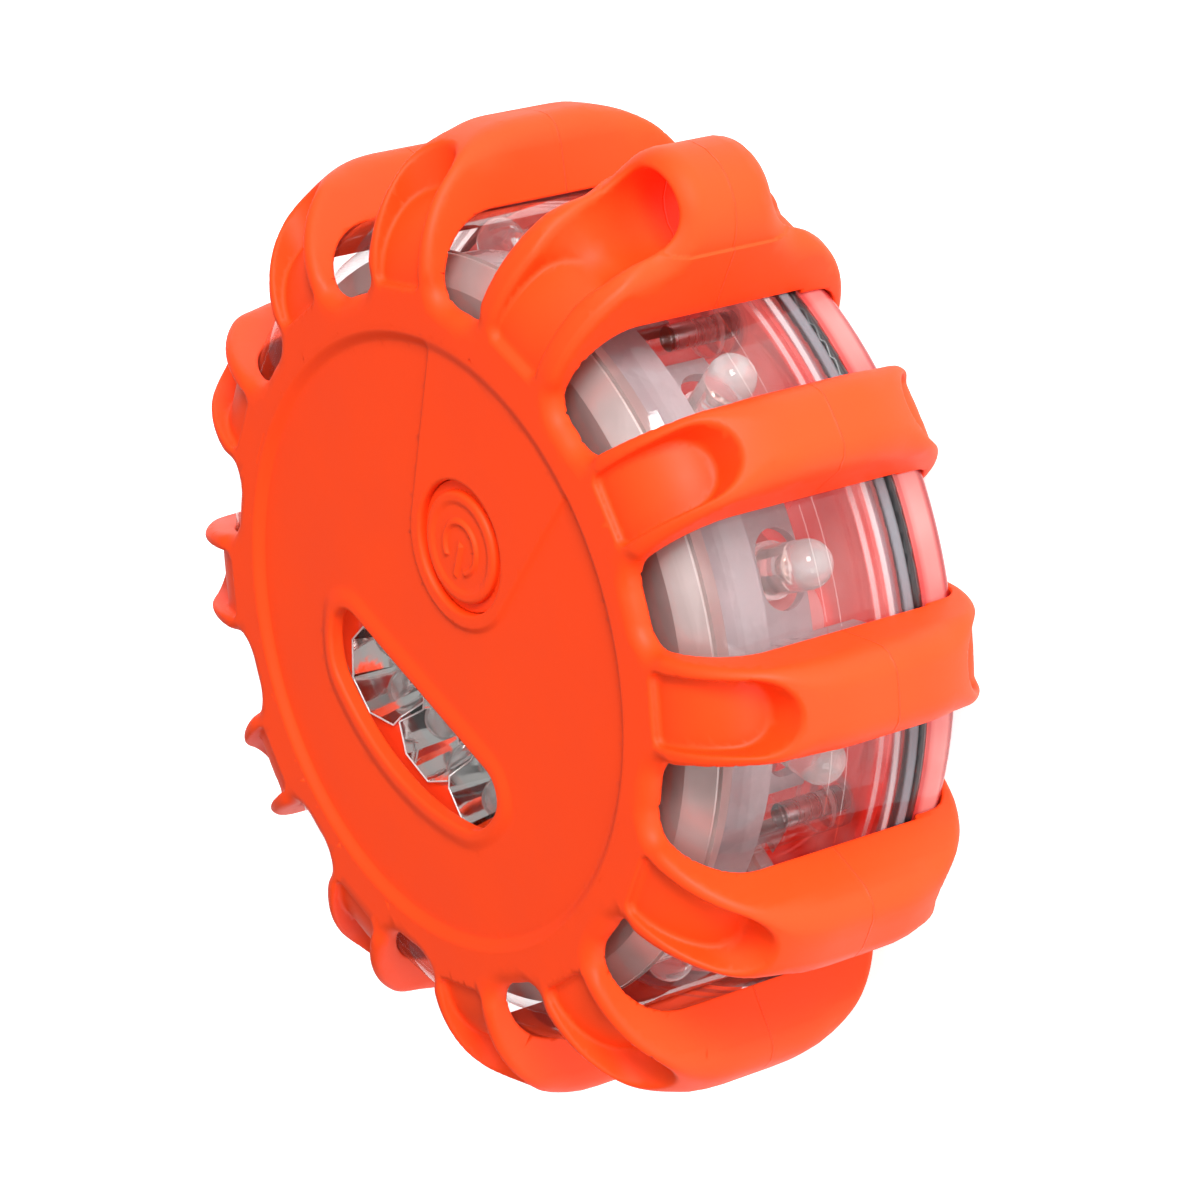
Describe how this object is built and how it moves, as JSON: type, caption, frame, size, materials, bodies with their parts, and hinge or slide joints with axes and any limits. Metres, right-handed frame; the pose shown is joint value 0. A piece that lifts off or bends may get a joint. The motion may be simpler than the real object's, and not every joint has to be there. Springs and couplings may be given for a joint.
{
  "type": "led safety flare",
  "caption": "Round battery warning lamp in a ribbed rubber cover, with side lights, a front torch, a push button, a hanging eye, a rear magnet and a fold-out wire hook.",
  "frame": {"origin": "on the disc axis, in the plane of the rear face", "axes": "+Z out of the front face with the button, +Y towards the hanging eye, +X to the right seen from the front"},
  "size_m": [0.102, 0.1077, 0.0357],
  "materials": {
    "cover_rubber": "soft matt moulded rubber",
    "clear_lens": "clear polished polycarbonate",
    "red_housing": "translucent red polycarbonate",
    "door_plastic": "fine spark texture",
    "seal_rubber": "smooth black rubber",
    "foam": "closed cell foam",
    "chromed_reflector": "mirror metallised",
    "satin_reflector": "satin metallised",
    "white_carrier": "translucent white",
    "led_epoxy": "clear cast epoxy",
    "tinned_lead": "tinned",
    "board_green": "solder mask",
    "screw_steel": "zinc plated",
    "chip_black": "moulded epoxy",
    "resistor_body": "glazed",
    "stem_plastic": "smooth",
    "tray_plastic": "fine texture",
    "contact_metal": "nickel plated",
    "cell_sleeve": "plain sleeve over a metal can",
    "wire_red": "smooth",
    "wire_black": "smooth",
    "magnet_steel": "nickel plated",
    "magnet_ferrite": "ground ferrite",
    "hook_wire": "drawn stainless wire"
  },
  "bodies": {
    "flare_body": {"battery_cell_1": "cell_sleeve", "battery_cell_2": "cell_sleeve", "battery_cell_3": "cell_sleeve", "battery_tray": "tray_plastic", "battery_wire_black": "wire_black", "battery_wire_red": "wire_red", "board_resistors": "resistor_body", "board_screws": "screw_steel", "contact_leaves": "contact_metal", "contact_plates": "contact_metal", "controller_chip": "chip_black", "front_lens": "clear_lens", "housing_screws": "screw_steel", "led_carrier": "white_carrier", "main_board": "board_green", "o_ring_seal": "seal_rubber", "rear_housing": "red_housing", "reflector_skirt": "satin_reflector", "rubber_cover": "cover_rubber", "side_led_01": "led_epoxy", "side_led_02": "led_epoxy", "side_led_03": "led_epoxy", "side_led_04": "led_epoxy", "side_led_05": "led_epoxy", "side_led_06": "led_epoxy", "side_led_07": "led_epoxy", "side_led_08": "led_epoxy", "side_led_09": "led_epoxy", "side_led_10": "led_epoxy", "side_led_11": "led_epoxy", "side_led_12": "led_epoxy", "side_led_leads": "tinned_lead", "tact_switch": "chip_black", "torch_led_1": "led_epoxy", "torch_led_2": "led_epoxy", "torch_led_3": "led_epoxy", "torch_reflector": "chromed_reflector", "torch_seat": "red_housing"},
    "button": {"power_button": "cover_rubber", "button_plunger": "stem_plastic", "switch_stem": "stem_plastic"},
    "door": {"battery_door": "door_plastic", "door_gasket": "seal_rubber", "door_screws": "screw_steel", "door_pad": "foam", "magnet_cup": "magnet_steel", "magnet_disc": "magnet_ferrite"},
    "hook": {"wire_hook": "hook_wire"}
  },
  "joints": [
    {"name": "button_press", "type": "slide", "parent": "flare_body", "child": "button", "axis": [0, 0, -1], "range_m": [0, 0.0008], "stiffness_N_per_m": 2500},
    {"name": "door_lift", "type": "slide", "parent": "flare_body", "child": "door", "axis": [0, 0, -1], "range_m": [0, 0.02]},
    {"name": "hook_swing", "type": "hinge", "parent": "door", "child": "hook", "pos_m": [0, 0.0165, 0.0019], "axis": [1, 0, 0], "range_deg": [0, 155]}
  ]
}
